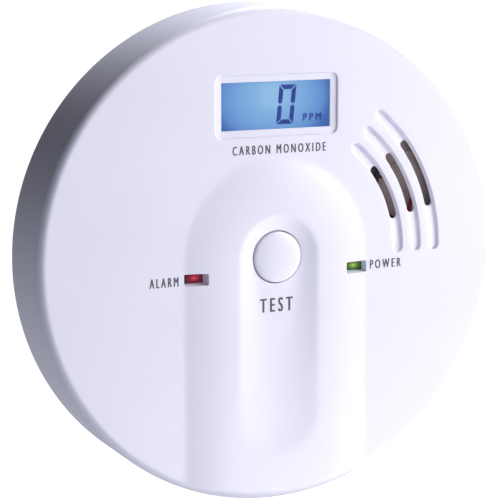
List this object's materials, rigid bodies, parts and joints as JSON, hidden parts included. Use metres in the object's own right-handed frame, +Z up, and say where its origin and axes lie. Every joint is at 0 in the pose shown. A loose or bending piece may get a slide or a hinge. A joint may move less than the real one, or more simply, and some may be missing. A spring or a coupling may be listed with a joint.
{
  "type": "carbon monoxide detector",
  "caption": "Round wall-mounted carbon monoxide alarm with a display window, domed test button, arched ridge, sounder grille, status lamps and a twist-off wall bracket.",
  "frame": {"origin": "on the wall plane, at the centre of the ring bracket's back face, on the alarm's axis", "axes": "+Z up, +X to the right seen from the room, +Y into the wall, so the display faces -Y"},
  "size_m": [0.14, 0.0318, 0.14],
  "materials": {
    "housing_plastic": "fine satin",
    "button_plastic": "satin",
    "bracket_plastic": "fine matt",
    "white_plastic": "satin",
    "black_plastic": "satin",
    "display_lens": "clear gloss",
    "lcd": "lit blue display",
    "light_guide": "gloss",
    "rubber": "matt",
    "red_lamp": "clear gloss, tinted red",
    "green_lamp": "clear gloss, tinted green",
    "circuit_board": "solder mask",
    "copper_winding": "enamelled wire",
    "capacitor_can": "satin",
    "screw_steel": "zinc plated",
    "spring_steel": "nickel plated",
    "piezo_brass": "dull, tarnished",
    "piezo_ceramic": "matt",
    "red_wire": "satin insulation",
    "black_wire": "satin insulation",
    "battery_sleeve": "plain printed sleeve",
    "label": "blank paper label"
  },
  "bodies": {
    "bracket": {"mounting_bracket": "bracket_plastic"},
    "head": {"rear_cover": "housing_plastic", "front_cover": "housing_plastic", "rating_label": "label", "case_screw_1": "screw_steel", "case_screw_2": "screw_steel", "case_screw_3": "screw_steel", "button_return_spring": "spring_steel", "test_switch_body": "black_plastic", "display_lens": "display_lens", "lcd_panel": "lcd", "lcd_backlight": "light_guide", "lcd_frame": "white_plastic", "lcd_connector": "rubber", "alarm_led_red": "red_lamp", "power_led_green": "green_lamp", "main_board": "circuit_board", "microcontroller": "black_plastic", "boost_coil": "copper_winding", "filter_capacitor": "capacitor_can", "co_sensor": "white_plastic", "co_sensor_cap": "spring_steel", "board_screw_1": "screw_steel", "board_screw_2": "screw_steel", "board_screw_3": "screw_steel", "board_screw_4": "screw_steel", "sounder_housing": "black_plastic", "sounder_gasket": "rubber", "piezo_disc": "piezo_brass", "piezo_ceramic": "piezo_ceramic", "sounder_lead_red": "red_wire", "sounder_lead_black": "black_wire", "battery_cell_1": "battery_sleeve", "battery_cell_2": "battery_sleeve", "battery_cell_3": "battery_sleeve", "battery_spring_1": "spring_steel", "battery_spring_2": "spring_steel", "battery_spring_3": "spring_steel", "battery_contact_plus": "spring_steel", "battery_contact_minus": "spring_steel", "battery_bridge_1": "spring_steel", "battery_bridge_2": "spring_steel"},
    "door": {"battery_door": "housing_plastic"},
    "button": {"test_button": "button_plastic"},
    "plunger": {"test_switch_plunger": "black_plastic"}
  },
  "joints": [
    {"name": "head_twist", "type": "hinge", "parent": "bracket", "child": "head", "pos_m": [0, 0, 0], "axis": [0, -1, 0], "range_deg": [0, 20]},
    {"name": "battery_door_hinge", "type": "hinge", "parent": "head", "child": "door", "pos_m": [0, -0.0059, -0.0172], "axis": [-1, 0, 0], "range_deg": [0, 110]},
    {"name": "test_button_press", "type": "slide", "parent": "head", "child": "button", "axis": [0, 1, 0], "range_m": [0, 0.0006], "stiffness_N_per_m": 800, "deforming": ["button_return_spring"]},
    {"name": "switch_plunger_press", "type": "slide", "parent": "head", "child": "plunger", "axis": [0, 1, 0], "range_m": [0, 0.0006]}
  ],
  "couplings": [
    {"joint": "switch_plunger_press", "follows": "test_button_press", "ratio": 1}
  ]
}
